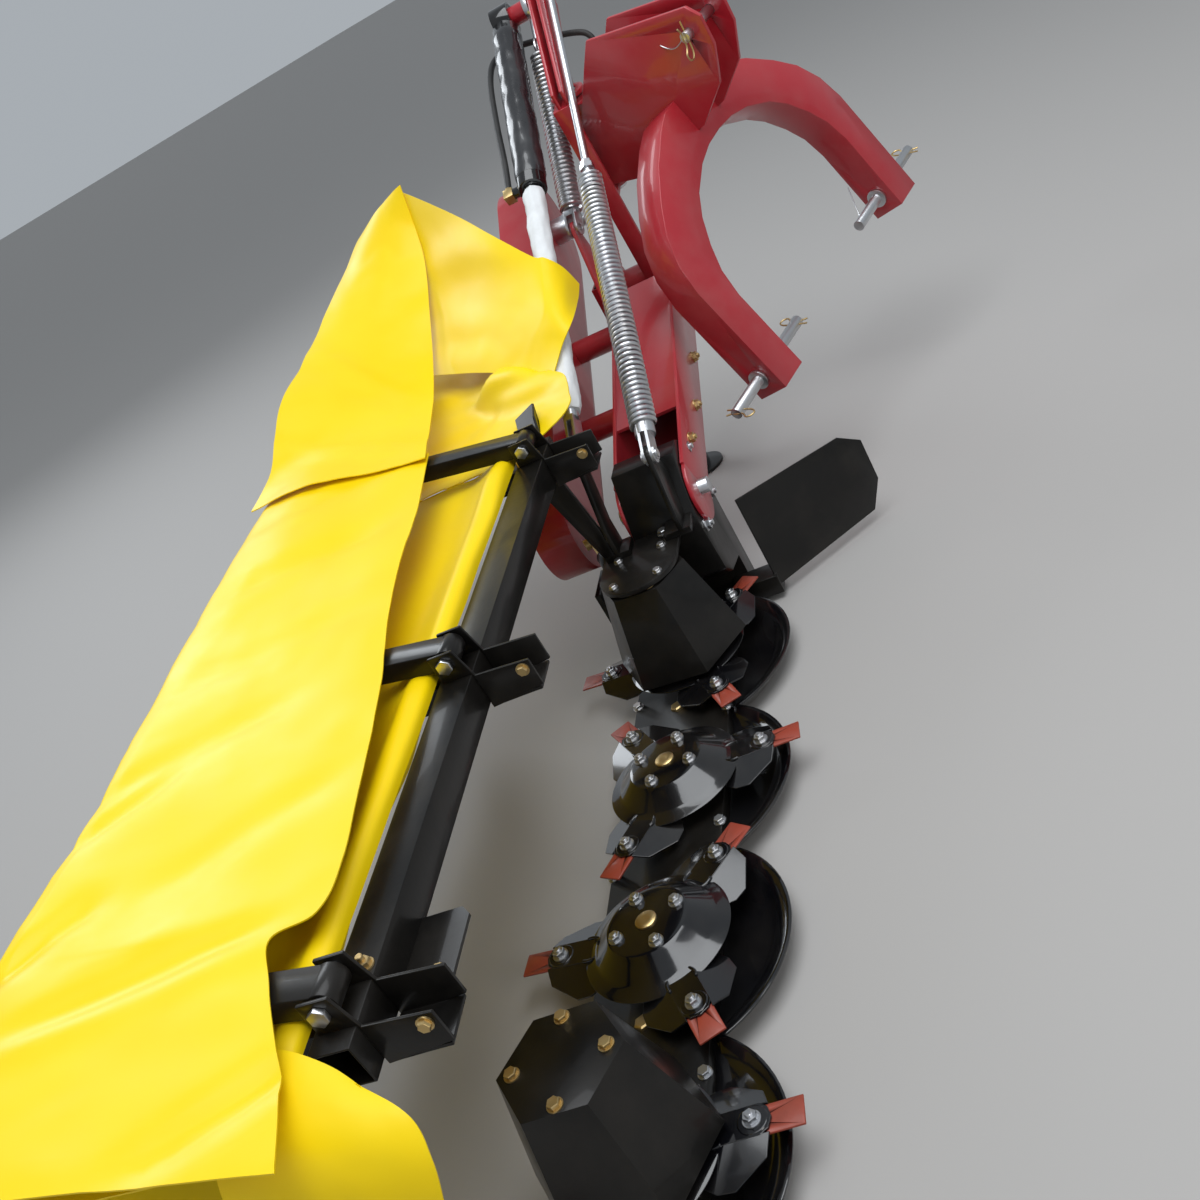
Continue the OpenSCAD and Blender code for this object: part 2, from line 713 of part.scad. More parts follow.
module guard_brackets() {
    ear = [[tube_y - 22, tube_z + tube_s / 2], [tube_y - 22, pivot_z + 20], [tube_y + 22, pivot_z + 20],
        [tube_y + 34, tube_z + 26], [tube_y + tube_s / 2 + 95, tube_z + 20], [tube_y + tube_s / 2 + 95, tube_z - 30],
        [tube_y + tube_s / 2, tube_z - 40], [tube_y + tube_s / 2, tube_z + tube_s / 2]];
    color(black) place() for (x = bracket_x) {
        for (s = [-1, 1]) plate_yz(x + s * 33.5, 5) difference() {
            polygon(ear);
            translate([tube_y, pivot_z]) circle(d = 16.1, $fn = 32);
        }
        translate([x - 35, tube_y + tube_s / 2, tube_z - 38]) cube([70, 90, 5]);
    }
}

module guard_bolts() {
    color(zinc) place() for (x = bracket_x) translate([x, tube_y, pivot_z]) rotate([0, 90, 0]) {
        cylinder(d = 16, h = 84, center = true, $fn = 32);
        for (s = [-1, 1]) translate([0, 0, s * 40]) cylinder(d = 28, h = 8, center = true, $fn = 6);
    }
}

module rear_arms() {
    color(black) place() {
        for (x = bracket_x)
            translate([x - 25, tube_y - tube_s / 2 - rear_l, tube_z - 20]) cube([50, rear_l, 40]);
        translate([tube_in, tube_y - tube_s / 2 - rear_l - 30, tube_z - 20]) cube([tube_l, 30, 40]);
    }
}

module rear_sheet() {
    y0 = tube_y - tube_s / 2 - 4;
    y1 = tube_y - tube_s / 2 - rear_l - 32;
    z1 = tube_z + 20 + seat_gap;
    color(yellow) place() translate([sheet_in, 0, 0]) rotate([90, 0, 90]) linear_extrude(sheet_out - sheet_in)
        polygon([[y0, z1], [y1, z1], [y1, tube_z - 30], [y1 - 40, 50], [y1 - 44, 50],
            [y1 - 4, tube_z - 30], [y1 - 4, z1 + 4], [y0, z1 + 4]]);
}

module fold() {
    place() translate([0, tube_y, pivot_z]) rotate([-guard_park, 0, 0]) children();
}

module front_arms() {
    color(black) fold() {
        for (x = bracket_x) plate_yz(x, 50) difference() {
            union() {
                circle(r = 20, $fn = 48);
                translate([-flap_l, -17]) square([flap_l, 34]);
            }
            circle(d = 16.1, $fn = 32);
        }
        translate([tube_in, -flap_l - 30, -17]) cube([tube_l, 30, 34]);
    }
}

module front_sheet() {
    color(yellow) fold() translate([sheet_in, 0, 0]) rotate([90, 0, 90]) linear_extrude(sheet_out - sheet_in)
        polygon([[-60, 17 + seat_gap], [-flap_l - 32, 17 + seat_gap], [-flap_l - 34, -20], [-flap_l - 110, -170],
            [-flap_l - 114, -168], [-flap_l - 38, -18], [-flap_l - 36, 22], [-60, 22]]);
}

main_beam();
belt_guard();
pto_stub();
swing_carrier();
beam_pin();
lift_mast();
swing_post();
hinge_pin();
parking_stand();
headstock_arms();
tower();
hitch_pins();
top_link_pin();
cylinder_barrel();
cylinder_rod();
lift_hose();
hose_fittings();
spring_rod_a();
lower_spring();
spring_rod_b();
upper_spring();
bar_housing();
skid_guards();
inner_post();
gear_flange();
lift_levers();
drive_joint();
divider_plate();
guard_tube();
guard_brackets();
guard_bolts();
rear_arms();
rear_sheet();
front_arms();
front_sheet();
disc(0);  // disc_1
disc(1);  // disc_2
disc(2);  // disc_3
disc(3);  // disc_4
blades(0);  // blades_1
blades(1);  // blades_2
blades(2);  // blades_3
blades(3);  // blades_4
drum(0);  // drum_1
drum(3);  // drum_4
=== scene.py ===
import json
import math
import bmesh
import bpy
from mathutils import Matrix, Vector, noise


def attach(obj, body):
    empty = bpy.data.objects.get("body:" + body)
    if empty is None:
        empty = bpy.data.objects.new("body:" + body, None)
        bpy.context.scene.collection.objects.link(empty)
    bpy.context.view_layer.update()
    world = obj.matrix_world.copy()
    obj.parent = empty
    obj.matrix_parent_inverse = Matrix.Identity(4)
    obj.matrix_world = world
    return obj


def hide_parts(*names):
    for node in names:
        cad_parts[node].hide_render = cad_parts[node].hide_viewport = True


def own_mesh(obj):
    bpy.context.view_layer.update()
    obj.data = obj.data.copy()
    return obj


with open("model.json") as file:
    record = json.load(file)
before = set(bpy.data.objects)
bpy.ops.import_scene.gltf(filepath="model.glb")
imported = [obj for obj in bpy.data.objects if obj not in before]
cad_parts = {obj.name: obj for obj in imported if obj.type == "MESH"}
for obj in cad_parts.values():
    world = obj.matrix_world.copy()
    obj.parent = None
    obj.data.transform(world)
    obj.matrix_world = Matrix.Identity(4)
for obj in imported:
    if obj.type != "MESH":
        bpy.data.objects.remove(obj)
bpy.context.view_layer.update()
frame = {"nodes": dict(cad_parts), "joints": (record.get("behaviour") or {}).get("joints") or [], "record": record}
nodes = frame["nodes"]

# Shapes are drawn in millimetres from the first disc's centre on the blade bolt plane, with x along the cutter bar,
# y to the front and z up.
FIRST_DISC = Vector(next(j["pos_m"] for j in frame["joints"] if j["name"] == "disc_1_spin"))
TO_FRAME = Matrix.Translation(FIRST_DISC) @ Matrix.Scale(0.001, 4)
FULL_TURN = 2 * math.pi
ALONG_BAR = Vector((1, 0, 0))
FORWARD = Vector((0, 1, 0))
UP = Vector((0, 0, 1))

# cutter bar and discs
PITCH = 400
DISC_TURN = (26, -26, 26, -26)
HUB_TURN = (20, 67, 24, 5)
PLAIN_DISCS = (1, 2)
BLADE_BOLTS_R = 180
HUB_BOLTS_R = 57
DRUM_BOLTS_R = 70.5
DOME_TOP = 30
DRUM_TOP = 206
BAR_TOP = -42
HUB_FOOT = -41.7

# guard, from its tube to the parked folding arms
TUBE_TOP = 511
BRACKETS = (-63, 658, 1323)
BRACKET_FACE = 36.5
EAR_BOLT = (10, 487)
ARM_START = (-99, 557.2)
ARM_SLOPE = 0.1584

# headstock, with its own x across the arms
HEAD = (Matrix.Translation((-1172, 52, 350)) @ Matrix.Rotation(math.radians(8), 4, "Y")
        @ Matrix.Rotation(math.radians(-30), 4, "Z"))
HEAD_TURN = HEAD.to_3x3()
ARM_GAP = 720
PIN_L = 340
PIN_Y = 500
MAST_H = 680

# balance springs and lift cylinder, each from its upper pin to its lower one
LONG_SPRING = ((-1320, 100, 1195), (-124, 100, 386))
SHORT_SPRING = ((-1320, 32, 1150), (-905, -27, 690))
CYLINDER = ((-1320, -47, 1150), (-151, -47, 432))
COIL_R = 25.5
COIL_WIRE = 4.6
FORK_L = 74

# metres, for the modifiers
EDGE = 0.0012
GUSSET_EDGE = 0.0015
SAME_POINT = 0.00001


# materials

def group(name, inputs, outputs):
    g = bpy.data.node_groups.new(name, "ShaderNodeTree")
    for n, kind, value in inputs:
        s = g.interface.new_socket(n, in_out="INPUT", socket_type="NodeSocket" + kind)
        if value is not None:
            s.default_value = value
    for n, kind in outputs:
        g.interface.new_socket(n, in_out="OUTPUT", socket_type="NodeSocket" + kind)
    return g, g.nodes.new("NodeGroupInput").outputs, g.nodes.new("NodeGroupOutput").inputs


def add_node(tree, kind, **values):
    """A shader node, with constants on its named inputs."""
    n = tree.nodes.new("ShaderNode" + kind)
    for socket, value in values.items():
        n.inputs[socket.replace("_", " ")].default_value = value
    return n


def dust_and_painted_light():
    """Dust in soft patches over a colour, with a fine unevenness. On the yellow cloth the patches are a lighter
    yellow: painted light that stands in for light shining through the cloth.
    """
    g, given, result = group(
        "dust and painted light",
        [("Vector", "Vector", None), ("Colour", "Color", (0.5, 0.5, 0.5, 1)), ("Dust", "Color", (0.4, 0.35, 0.3, 1)),
         ("Dust amount", "Float", 0.3), ("Patch scale", "Float", 7.0), ("Roughness", "Float", 0.3),
         ("Unevenness", "Float", 0.1), ("Grain scale", "Float", 90.0)],
        [("Base Color", "Color"), ("Roughness", "Float"), ("Normal", "Vector")])
    link = g.links.new
    patches = add_node(g, "TexNoise", Detail=7, Roughness=0.62)
    link(given["Vector"], patches.inputs["Vector"])
    link(given["Patch scale"], patches.inputs["Scale"])
    spread = add_node(g, "MapRange", From_Min=0.42, From_Max=0.75)
    link(patches.outputs["Fac"], spread.inputs["Value"])
    amount = add_node(g, "Math")
    amount.operation = "MULTIPLY"
    link(spread.outputs["Result"], amount.inputs[0])
    link(given["Dust amount"], amount.inputs[1])
    mix = add_node(g, "Mix")
    mix.data_type = "RGBA"  # its colours are inputs 6 and 7, and output 2
    link(amount.outputs[0], mix.inputs["Factor"])
    link(given["Colour"], mix.inputs[6])
    link(given["Dust"], mix.inputs[7])
    link(mix.outputs[2], result["Base Color"])
    rough = add_node(g, "Math")
    rough.operation = "MULTIPLY_ADD"
    rough.inputs[1].default_value = 0.55
    rough.use_clamp = True
    link(amount.outputs[0], rough.inputs[0])
    link(given["Roughness"], rough.inputs[2])
    link(rough.outputs[0], result["Roughness"])
    grain = add_node(g, "TexNoise", Detail=3)
    link(given["Vector"], grain.inputs["Vector"])
    link(given["Grain scale"], grain.inputs["Scale"])
    bump = add_node(g, "Bump", Distance=0.002)
    link(given["Unevenness"], bump.inputs["Strength"])
    link(grain.outputs["Fac"], bump.inputs["Height"])
    link(bump.outputs["Normal"], result["Normal"])
    return g


SURFACE = dust_and_painted_light()


def material(name, colour, metallic=0.0, coat=0.0, shine=0.5, **values):
    """A Principled material over the surface group, which lays on dust and, on the yellow cloth, painted light.
    values are the surface's own inputs.
    """
    m = bpy.data.materials.new(name)
    m.use_nodes = True
    m.diffuse_color = (*colour, 1)
    tree = m.node_tree
    bsdf = tree.nodes["Principled BSDF"]
    place = add_node(tree, "TexCoord")
    dust_and_light = add_node(tree, "Group")
    dust_and_light.node_tree = SURFACE
    tree.links.new(place.outputs["Object"], dust_and_light.inputs["Vector"])
    dust_and_light.inputs["Colour"].default_value = (*colour, 1)
    for k, v in values.items():
        dust_and_light.inputs[k.replace("_", " ")].default_value = (*v, 1) if isinstance(v, tuple) else v
    for out in ("Base Color", "Roughness", "Normal"):
        tree.links.new(dust_and_light.outputs[out], bsdf.inputs[out])
    bsdf.inputs["Metallic"].default_value = metallic
    bsdf.inputs["Specular IOR Level"].default_value = shine
    bsdf.inputs["Coat Weight"].default_value = coat
    bsdf.inputs["Coat Roughness"].default_value = 0.06
    return m


RED = material("red paint", (0.4, 0.016, 0.026), coat=0.4, Roughness=0.32, Dust=(0.36, 0.13, 0.12),
               Dust_amount=0.25, Unevenness=0.06)
BLACK = material("gloss black paint", (0.003, 0.003, 0.004), coat=0.9, shine=0.3, Roughness=0.14,
                 Dust=(0.05, 0.043, 0.035), Dust_amount=0.22, Unevenness=0.03)
FRAME_BLACK = material("satin black paint", (0.005, 0.0045, 0.004), coat=0.12, shine=0.25, Roughness=0.3,
                       Dust=(0.05, 0.042, 0.033), Dust_amount=0.22, Unevenness=0.08)
ZINC = material("bright zinc", (0.62, 0.63, 0.65), metallic=1.0, Roughness=0.28, Dust=(0.35, 0.33, 0.3),
                Dust_amount=0.35, Unevenness=0.1)
GOLD = material("yellow zinc", (0.62, 0.45, 0.2), metallic=1.0, Roughness=0.34, Dust=(0.4, 0.33, 0.22),
                Dust_amount=0.4, Unevenness=0.1)
BLADE = material("blade paint", (0.3, 0.045, 0.022), coat=0.1, Roughness=0.42, Dust=(0.14, 0.03, 0.015),
                 Dust_amount=0.6, Patch_scale=18.0, Unevenness=0.15)
# The cloth's Dust input is a lighter yellow in large patches: painted light that stands in for light shining through
# the cloth, not dust.
YELLOW = material("yellow coated cloth", (0.88, 0.62, 0.001), shine=0.3, Roughness=0.38, Dust=(0.9, 0.7, 0.012),
                  Dust_amount=0.35, Patch_scale=3.5, Unevenness=0.09, Grain_scale=22.0)
RUBBER = material("black rubber", (0.012, 0.012, 0.012), Roughness=0.5, Dust=(0.08, 0.075, 0.07),
                  Dust_amount=0.4, Unevenness=0.2, Grain_scale=200.0)
FILM = material("black film wrap", (0.01, 0.01, 0.012), coat=0.6, Roughness=0.25, Dust=(0.07, 0.07, 0.07),
                Dust_amount=0.25, Unevenness=0.55, Grain_scale=30.0)
FOAM = material("white foam wrap", (0.72, 0.74, 0.75), Roughness=0.6, Dust=(0.55, 0.56, 0.56), Dust_amount=0.5,
                Patch_scale=20.0, Unevenness=0.7, Grain_scale=45.0)
SLOTS = {"red": RED, "black": BLACK, "zinc": ZINC, "gold": GOLD, "rust": BLADE, "yellow": YELLOW, "hose": RUBBER}
SATIN = ("bar_housing", "inner_post", "gear_flange", "lift_levers", "divider_plate", "guard_tube",
         "guard_brackets", "rear_arms", "front_arms", "parking_stand", "drum_1", "drum_4")


def soften(o, width, angle=30):
    edge = o.modifiers.new("edge", "BEVEL")
    edge.width = width
    edge.segments = 2
    edge.limit_method = "ANGLE"
    edge.angle_limit = math.radians(angle)
    edge.harden_normals = True


def dress_nodes():
    """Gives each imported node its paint, and softens its edges."""
    for row in frame["record"]["subparts"]:
        o = nodes[row["node"]]
        o.data.materials.clear()
        o.data.materials.append(FRAME_BLACK if row["node"] in SATIN else SLOTS[row["material_slot"]])
        o.data.shade_smooth()
        weld = o.modifiers.new("weld", "WELD")
        weld.merge_threshold = SAME_POINT
        soften(o, EDGE, 35)


# shapes

def piece(name, bm, body, paint, crease=35):
    bmesh.ops.recalc_face_normals(bm, faces=bm.faces)
    bmesh.ops.transform(bm, matrix=TO_FRAME, verts=bm.verts)
    mesh = bpy.data.meshes.new(name)
    bm.to_mesh(mesh)
    bm.free()
    o = bpy.data.objects.new(name, mesh)
    bpy.context.scene.collection.objects.link(o)
    mesh.materials.append(paint)
    mesh.shade_smooth()
    mesh.set_sharp_from_angle(angle=math.radians(crease))
    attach(o, body)
    return o


def moved(x, y, z):
    return Matrix.Translation((x, y, z))


def spin(degrees, axis):
    return Matrix.Rotation(math.radians(degrees), 4, axis)


def around(r, angle, z=0.0):
    return Vector((r * math.cos(angle), r * math.sin(angle), z))


def on_disc(i, r, angle, z):
    a = math.radians(angle)
    return Vector((i * PITCH + r * math.cos(a), r * math.sin(a), z))


def aimed(at, axis):
    return Matrix.Translation(Vector(at)) @ Vector(axis).to_track_quat("Z", "Y").to_matrix().to_4x4()


def skin(bm, rings):
    """A closed solid over rings of points. A ring of one point is a tip, and the end rings are closed."""
    for end in (rings[0][::-1], rings[-1]):
        if len(end) > 1:
            bm.faces.new(end)
    for p, q in zip(rings, rings[1:]):
        n = max(len(p), len(q))
        for k in range(n):
            j = (k + 1) % n
            if len(p) == 1:
                bm.faces.new((p[0], q[k], q[j]))
            elif len(q) == 1:
                bm.faces.new((p[k], p[j], q[0]))
            else:
                bm.faces.new((p[k], p[j], q[j], q[k]))


def rod(bm, a, b, r, sides):
    a, b = Vector(a), Vector(b)
    d = b - a
    bmesh.ops.create_cone(bm, cap_ends=True, segments=sides, radius1=r, radius2=r, depth=d.length,
                          matrix=aimed(a + d / 2, d))


def turned(bm, profile, m, sides):
    """A solid of revolution from (radius, height) pairs that start and end on the axis."""
    skin(bm, [[bm.verts.new(m @ around(r, FULL_TURN * k / sides, z)) for k in range(sides if r else 1)]
              for r, z in profile])


def collar(bm, r, high, m, sides):
    turned(bm, [(0, 0), (r, 0), (r, high), (0, high)], m, sides)


def plate(bm, outline, m, thick):
    """A flat plate from its outline in the plane of m, centred on that plane."""
    skin(bm, [[bm.verts.new(m @ Vector((x, y, z))) for x, y in outline] for z in (-thick / 2, thick / 2)])


def bolt(bm, at, axis, across=19, high=9, washer=13, stud=0):
    """A hexagon head on its washer, and the bolt's end above it where a stud shows."""
    m = aimed(at, axis)
    turned(bm, [(0, -0.5), (washer, -0.5), (washer, 2), (0, 2)], m, 24)
    r = across / 2 / math.cos(math.pi / 6)
    turned(bm, [(0, 1.5), (r, 1.5), (r, high - 1.2), (r * 0.9, high), (0, high)], m, 6)
    if stud:
        turned(bm, [(0, high - 1), (across * 0.3, high - 1), (across * 0.3, high + stud - 1),
                    (across * 0.25, high + stud), (0, high + stud)], m, 16)


def curve_through(points, steps):
    """A smooth curve through points, with this many steps from each to the next."""
    p = [Vector(v) for v in points]
    out = []
    for i in range(len(p) - 1):
        a, b, c, d = p[max(i - 1, 0)], p[i], p[i + 1], p[min(i + 2, len(p) - 1)]
        for k in range(steps):
            t = k / steps
            out.append(b + 0.5 * (t * (c - a) + t * t * (2 * a - 5 * b + 4 * c - d)
                                  + t ** 3 * (3 * b - a - 3 * c + d)))
    return out + [p[-1]]


def tube(bm, path, r, sides=8):
    """A round tube along a path, with both ends closed."""
    t = (path[1] - path[0]).normalized()
    side = t.orthogonal().normalized()
    rings = []
    for i, p in enumerate(path):
        t = (path[min(i + 1, len(path) - 1)] - path[max(i - 1, 0)]).normalized()
        side = (side - t * side.dot(t)).normalized()
        other = t.cross(side)
        rings.append([bm.verts.new(p + r * (side * math.cos(FULL_TURN * k / sides)
                                            + other * math.sin(FULL_TURN * k / sides))) for k in range(sides)])
    skin(bm, rings)


# crop guard cloth

CLOTH_T = 2.4


def eased(t):
    t = min(max(t, 0.0), 1.0)
    return t * t * (3 - 2 * t)


def facing(surface):
    """The unit normal at each point of a grid."""
    n, m = len(surface), len(surface[0])
    return [[(surface[min(i + 1, n - 1)][j] - surface[max(i - 1, 0)][j]).cross(
        surface[i][min(j + 1, m - 1)] - surface[i][max(j - 1, 0)]).normalized() for j in range(m)] for i in range(n)]


def rumpled(p, normal, waves, creases):
    """A cloth point, moved along its normal by the long waves and by each crease that passes it."""
    height, size = waves
    q = p / size
    lift = noise.noise(q) + 0.5 * abs(noise.noise(q * 2.1 + Vector((7, 3, 1))))
    p = p + normal * height * lift
    for a, b, high, half in creases:
        a, b = Vector(a), Vector(b)
        run = (b - a).normalized()
        q = p.to_2d() - a
        t = q.dot(run) / (b - a).length
        fade = eased((t + 0.2) / 0.4) * eased((1.2 - t) / 0.4)
        away = abs(q.x * run.y - q.y * run.x) / half
        p = p + normal * high * fade * math.exp(-away * away)
    return p


def cloth(name, rows, body, waves, steps=9, creases=()):
    """A coated sheet through a table of points, as one closed solid. Returns the piece and its flat size in metres.
    waves are a height and a length. A crease is a line in plan, with its height and its half width."""
    columns = [curve_through(column, steps) for column in zip(*(curve_through(row, steps) for row in rows))]
    surface = [list(line) for line in zip(*columns)]
    normals = facing(surface)
    surface = [[rumpled(p, normal, waves, creases) for p, normal in zip(*line)] for line in zip(surface, normals)]
    n, m = len(surface), len(surface[0])
    bm = bmesh.new()
    top, low = ([[bm.verts.new(p + side * normal * CLOTH_T / 2) for p, normal in zip(*line)]
                 for line in zip(surface, normals)] for side in (1, -1))
    area = 0.0
    for i in range(n - 1):
        for j in range(m - 1):
            bm.faces.new((top[i][j], top[i + 1][j], top[i + 1][j + 1], top[i][j + 1]))
            bm.faces.new((low[i][j], low[i][j + 1], low[i + 1][j + 1], low[i + 1][j]))
            a, b, c, d = surface[i][j], surface[i + 1][j], surface[i + 1][j + 1], surface[i][j + 1]
            area += ((b - a).cross(c - a).length + (c - a).cross(d - a).length) / 2
    for i in range(n - 1):
        bm.faces.new((top[i][0], low[i][0], low[i + 1][0], top[i + 1][0]))
        bm.faces.new((top[i][-1], top[i + 1][-1], low[i + 1][-1], low[i][-1]))
    for j in range(m - 1):
        bm.faces.new((top[0][j], top[0][j + 1], low[0][j + 1], low[0][j]))
        bm.faces.new((top[-1][j], low[-1][j], low[-1][j + 1], top[-1][j + 1]))
    o = piece(name, bm, body, YELLOW, crease=60)
    middle = m // 2
    width = sum((surface[i + 1][middle] - surface[i][middle]).length for i in range(n - 1)) / 1000
    return o, (width, area / 1e6 / width)


def arm_top(y):
    """Height of the parked folding arms' upper faces."""
    start, high = ARM_START
    return high + ARM_SLOPE * (start - y)


FOLDS = [((1393, -527), (1258, -176), -4, 22), ((1350, -500), (1215, -200), 8, 22),
         ((1284, -600), (1124, -497), 12, 22), ((1560, -240), (1440, -90), 13, 20),
         ((907, -604), (721, -332), 8, 28), ((330, -600), (170, -330), 8, 26), ((640, -590), (500, -300), 7, 34),
         ((1120, -420), (960, -190), 6, 28), ((60, -650), (-40, -380), 7, 22), ((1000, -590), (860, -470), 9, 18)]
LONG_WAVES = (7, 190)


def folding_cloth():
    """The cloth over the folded-back guard, from its loose edge to the skirt behind."""
    edge = arm_top(-600)
    rows = []
    for x, near, far, sag in ((-86, -300, -690, 0), (200, -262, -676, 10), (500, -228, -655, 0), (780, -172, -622, 0),
                              (960, -146, -612, 0), (1130, -126, -606, 10), (1215, -136, -603, 0),
                              (1250, -186, -602, 0), (1330, -158, -600, 0), (1450, -104, -596, 0),
                              (1576, -62, -590, 0)):
        middle = (near - 560) / 2
        rows.append([(x, near, arm_top(near) + 9), (x, middle, arm_top(middle) + 12 - sag),
                     (x, -540, arm_top(-540) + 14), (x, (far - 560) / 2, edge + 11), (x, far + 4, edge + 2),
                     (x, far - 6, 592), (x, far - 10, 470)])
    o, flat = cloth("folding_guard_cloth", rows, "front_guard", LONG_WAVES, creases=FOLDS)
    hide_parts("front_sheet")


def raised_cloth():
    """The folding cloth's inner end, which stands up beside the beam."""
    rows = [[(-40, -292, 604), (-40, -430, 629), (-40, -570, 656), (-40, -702, 654)],
            [(-350, -355, 604), (-300, -470, 628), (-240, -590, 655), (-180, -694, 672)],
            [(-602, -415, 612), (-530, -510, 655), (-450, -600, 700), (-375, -700, 738)],
            [(-780, -415, 706), (-720, -520, 716), (-650, -620, 736), (-580, -700, 757)],
            [(-917, -415, 788), (-880, -500, 792), (-830, -600, 785), (-740, -700, 774)],
            [(-990, -418, 872), (-980, -490, 866), (-970, -570, 850), (-950, -670, 818)],
            [(-1036, -415, 957), (-1045, -450, 947), (-1055, -510, 925), (-1076, -610, 872)]]
    o, flat = cloth("raised_guard_cloth", rows, "front_guard", LONG_WAVES,
                    creases=[((-260, -700), (-120, -330), 10, 24), ((-640, -690), (-420, -430), 8, 30)])
    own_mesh(o)


def hanging_cloth():
    """The flap that drops from the raised cloth over the lift cylinder's rod."""
    rows = [[(-1060, -436, 944), (-814, -238, 852), (-612, -75, 752),
             (-583, -34, 735), (-584, -8, 700), (-590, 6, 645)],
            [(-975, -446, 808), (-729, -238, 765), (-548, -75, 713),
             (-520, -34, 700), (-518, -8, 672), (-535, 2, 628)],
            [(-872, -448, 716), (-638, -238, 694), (-470, -75, 666),
             (-436, -44, 656), (-410, -18, 640), (-397, 2, 623)],
            [(-750, -450, 640), (-560, -260, 636), (-440, -130, 618),
             (-405, -84, 614), (-378, -50, 606), (-358, -26, 599)],
            [(-650, -452, 582), (-500, -280, 582), (-410, -170, 572),
             (-372, -125, 566), (-340, -85, 568), (-312, -55, 570)]]
    o, flat = cloth("hanging_guard_flap", rows, "cylinder", (5, 150),
                    creases=[((-900, -400), (-640, -120), 9, 30), ((-700, -410), (-480, -180), -6, 26)])
    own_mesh(o)


def inner_cloth():
    """The fold over the tube's inner end and the belt guard."""
    rows = [[(-890, -560, 546), (-700, -358, 548), (-520, -200, 556), (-385, -92, 545)],
            [(-730, -520, 552), (-548, -330, 528), (-430, -206, 584), (-330, -82, 575)],
            [(-580, -500, 536), (-479, -329, 516), (-350, -204, 556), (-262, -22, 574)],
            [(-440, -490, 520), (-340, -300, 512), (-290, -198, 524), (-200, -8, 556)],
            [(-250, -560, 509), (-196, -370, 507), (-166, -240, 508), (-150, -20, 538)],
            [(-84, -600, 509), (-84, -430, 509), (-84, -270, 509), (-84, -142, 512)]]
    o, flat = cloth("inner_cloth_fold", rows, "cutter_bar", (7, 90), creases=[((-470, -330), (-350, -130), 16, 22)])
    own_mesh(o)


def rear_cloth():
    """The cloth over the fixed rear arms, with a rolled fold along the tube and a skirt to the ground."""
    rows = []
    for x in (-86, 20, 160, 330, 520, 700, 900, 1100, 1300, 1420, 1510):
        sway = math.sin(x / 97)
        roll = 15 + 7 * math.sin(x / 61 + 1)
        rows.append([(x, -138, 509), (x, -142, 514 + roll * 0.8), (x, -163 - 5 * sway, 518 + roll),
                     (x, -196, 511 + roll / 2), (x, -240, 507 + 3 * sway), (x, -300, 506), (x, -450, 506),
                     (x, -590, 506), (x, -607, 492), (x, -612, 440), (x + 4 * sway, -622 + 6 * sway, 330),
                     (x + 8 * sway, -634 + 10 * sway, 200), (x + 8 * sway, -640 + 12 * sway, 50)])
    o, flat = cloth("rear_guard_cloth", rows, "cutter_bar", (2, 150), steps=5)
    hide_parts("rear_sheet")


def end_cloth():
    """The loose corner at the outer end, that hangs down past the last arm."""
    rows = [[(1392, -190, 548), (1402, -130, 545), (1430, -66, 532), (1456, -26, 520)],
            [(1440, -196, 544), (1456, -120, 536), (1484, -32, 520), (1494, 36, 500)],
            [(1492, -200, 524), (1508, -110, 512), (1522, -20, 492), (1526, 52, 468)],
            [(1532, -200, 484), (1540, -110, 468), (1546, -30, 446), (1545, 44, 424)],
            [(1538, -196, 420), (1548, -110, 404), (1552, -36, 388), (1548, 24, 372)]]
    o, flat = cloth("outer_guard_flap", rows, "front_guard", (4, 120))


# springs, cylinder and hose

def along(a, b):
    """A place with its z from a to b and its y level, and the distance between them."""
    a, b = Vector(a), Vector(b)
    d = b - a
    turn_y = math.acos(d.z / d.length)
    turn_z = math.atan2(d.y, d.x)
    return Matrix.Translation(a) @ Matrix.Rotation(turn_z, 4, "Z") @ Matrix.Rotation(turn_y, 4, "Y"), d.length


def coil(bm, m, start, end, pitch):
    turns = (end - start) / pitch
    steps = int(turns * 20)
    tube(bm, [m @ around(COIL_R, FULL_TURN * turns * k / steps, start + (end - start) * k / steps)
              for k in range(steps + 1)], COIL_WIRE)


def fork(bm, m, base, lever):
    """Two plates either side of a lever, with a web and the two ends of a pin, at the end of a rod."""
    outline = [tuple(around(20, math.pi * k / 12).xy) for k in range(13)] + [(-20, -FORK_L), (20, -FORK_L)]
    half = lever / 2
    for s in (-1, 1):
        plate(bm, outline, m @ moved(0, s * (half + 3.3), base) @ spin(90, "X"), 6)
    low, high = Vector((-20, -half - 6.3, base - FORK_L)), Vector((20, half + 6.3, base - FORK_L + 14))
    box = Matrix.Translation((low + high) / 2) @ Matrix.Diagonal((*(high - low), 1))
    bmesh.ops.create_cube(bm, size=1, matrix=m @ box)
    axis = (m.to_3x3() @ FORWARD).normalized()
    centre = m @ Vector((0, 0, base))
    for s in (-1, 1):
        rod(bm, centre + axis * s * (half + 3), centre + axis * s * (half + 13), 9.8, 24)
        rod(bm, centre + axis * s * (half + 5), centre + axis * s * (half + 10), 15, 6)


def springs():
    m, length = along(*LONG_SPRING)
    bm = bmesh.new()
    coil(bm, m, length - FORK_L - 690, length - FORK_L, 12.6)
    collar(bm, 22, 30, m @ moved(0, 0, length - 78), 24)
    fork(bm, m, length, 10)
    turned(bm, [(0, -9), (18, -6), (21, 0), (21, 10), (0, 10)], m @ moved(0, 0, length - 766), 28)
    o = piece("long_balance_spring", bm, "spring_end", ZINC)
    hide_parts("lower_spring")
    m = along(*SHORT_SPRING)[0]
    bm = bmesh.new()
    coil(bm, m, 142, 572, 12.2)
    for z in (142, 562):
        collar(bm, 21, 10, m @ moved(0, 0, z), 24)
    o = piece("short_balance_spring", bm, "frame", ZINC)
    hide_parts("upper_spring")


